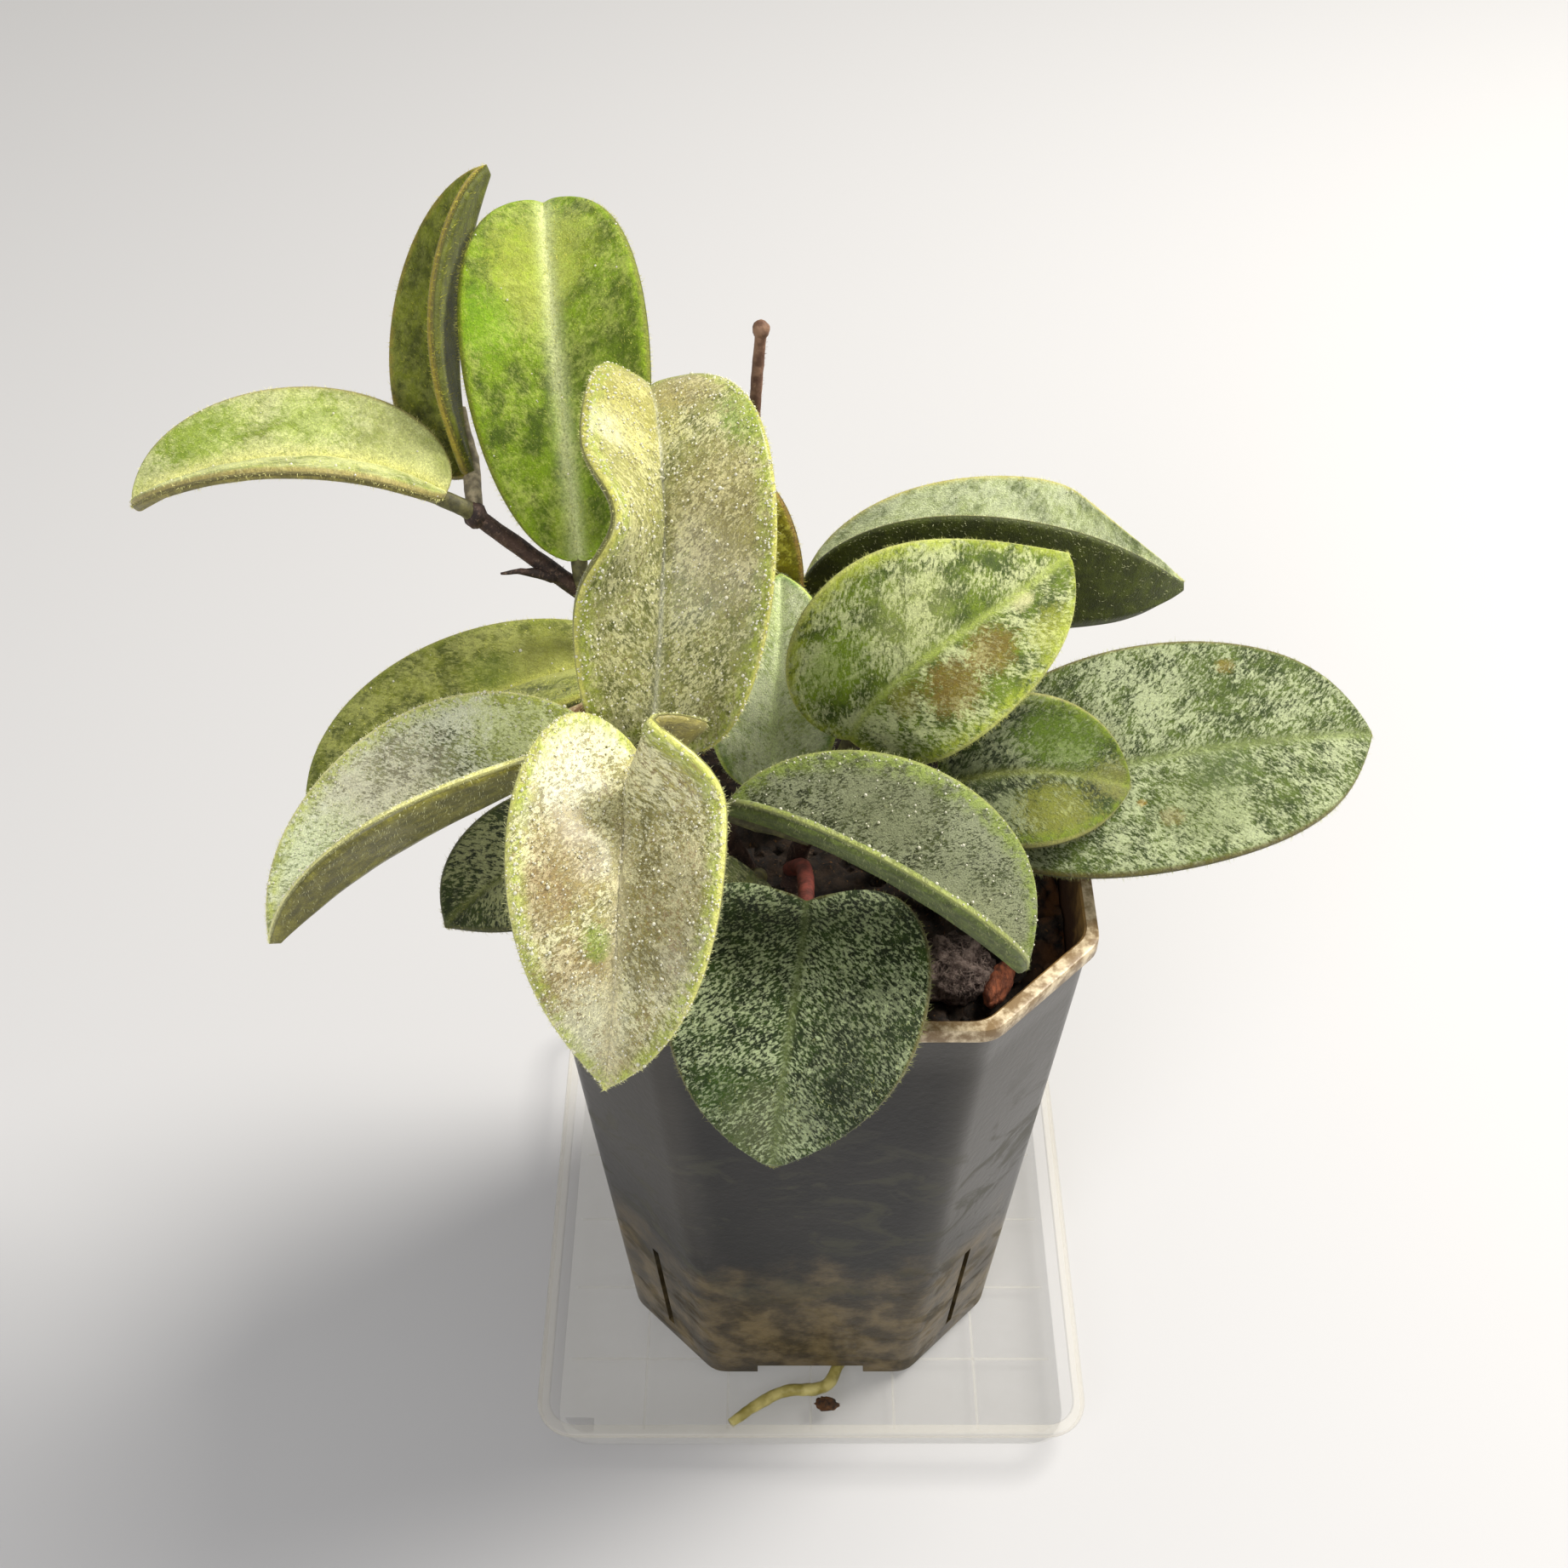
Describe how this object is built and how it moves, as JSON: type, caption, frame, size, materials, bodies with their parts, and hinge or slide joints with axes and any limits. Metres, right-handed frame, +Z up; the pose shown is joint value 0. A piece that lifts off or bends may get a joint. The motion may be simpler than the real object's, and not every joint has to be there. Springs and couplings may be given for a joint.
{
  "type": "potted grey ghost hoya",
  "caption": "Young climbing plant with broad, downy, silver-splashed leaves on short stems, in a tapered square pot with cut corners that stands on a shallow clear dish.",
  "frame": {"origin": "centre of the dish's underside, on the surface that it stands on and under the pot's middle", "axes": "+Z up, -Y towards the pot's front face, +X towards the large right leaf"},
  "size_m": [0.1682, 0.1093, 0.1888],
  "materials": {
    "clear_plastic": "clear thin plastic with rounded, slightly thicker lip",
    "pot_plastic": "smoky translucent plastic, dusty outside, soil showing through low down",
    "soil": "dark, coarse and moist",
    "fibre": "dry matted fibres",
    "bark": "rough red-brown bark",
    "root": "smooth yellow-green root",
    "stem": "dark brown, faintly downy",
    "leaf_bronze": "yellow-grey, densely downy, with fine water droplets",
    "leaf_silver": "silver-grey with green speckles, downy, with a yellow-green margin",
    "leaf_green": "bright green with silver splashes, downy",
    "leaf_dark": "dark green with strong silver flecks, downy"
  },
  "bodies": {
    "root": {"dish": "clear_plastic", "pot": "pot_plastic", "soil": "soil", "fibre_clump": "fibre", "bark_chip": "bark", "root": "root", "soil_crumb": "soil", "stem_left_long": "stem", "stem_centre": "stem", "stem_inner": "stem", "stem_right": "stem", "runner": "stem", "leaf_centre_tall": "leaf_bronze", "leaf_front": "leaf_bronze", "leaf_left_front": "leaf_silver", "leaf_right_front": "leaf_silver", "leaf_left_back": "leaf_silver", "leaf_dark_front": "leaf_dark", "leaf_right_large": "leaf_silver", "leaf_right_small": "leaf_green", "leaf_right_middle": "leaf_green", "leaf_right_back": "leaf_silver", "leaf_centre_silver": "leaf_silver", "leaf_behind_centre": "leaf_bronze", "leaf_top_level": "leaf_green", "leaf_top_upright": "leaf_dark", "leaf_top_green": "leaf_green", "leaf_low_left": "leaf_dark", "leaf_young_low": "leaf_dark"}
  },
  "joints": []
}
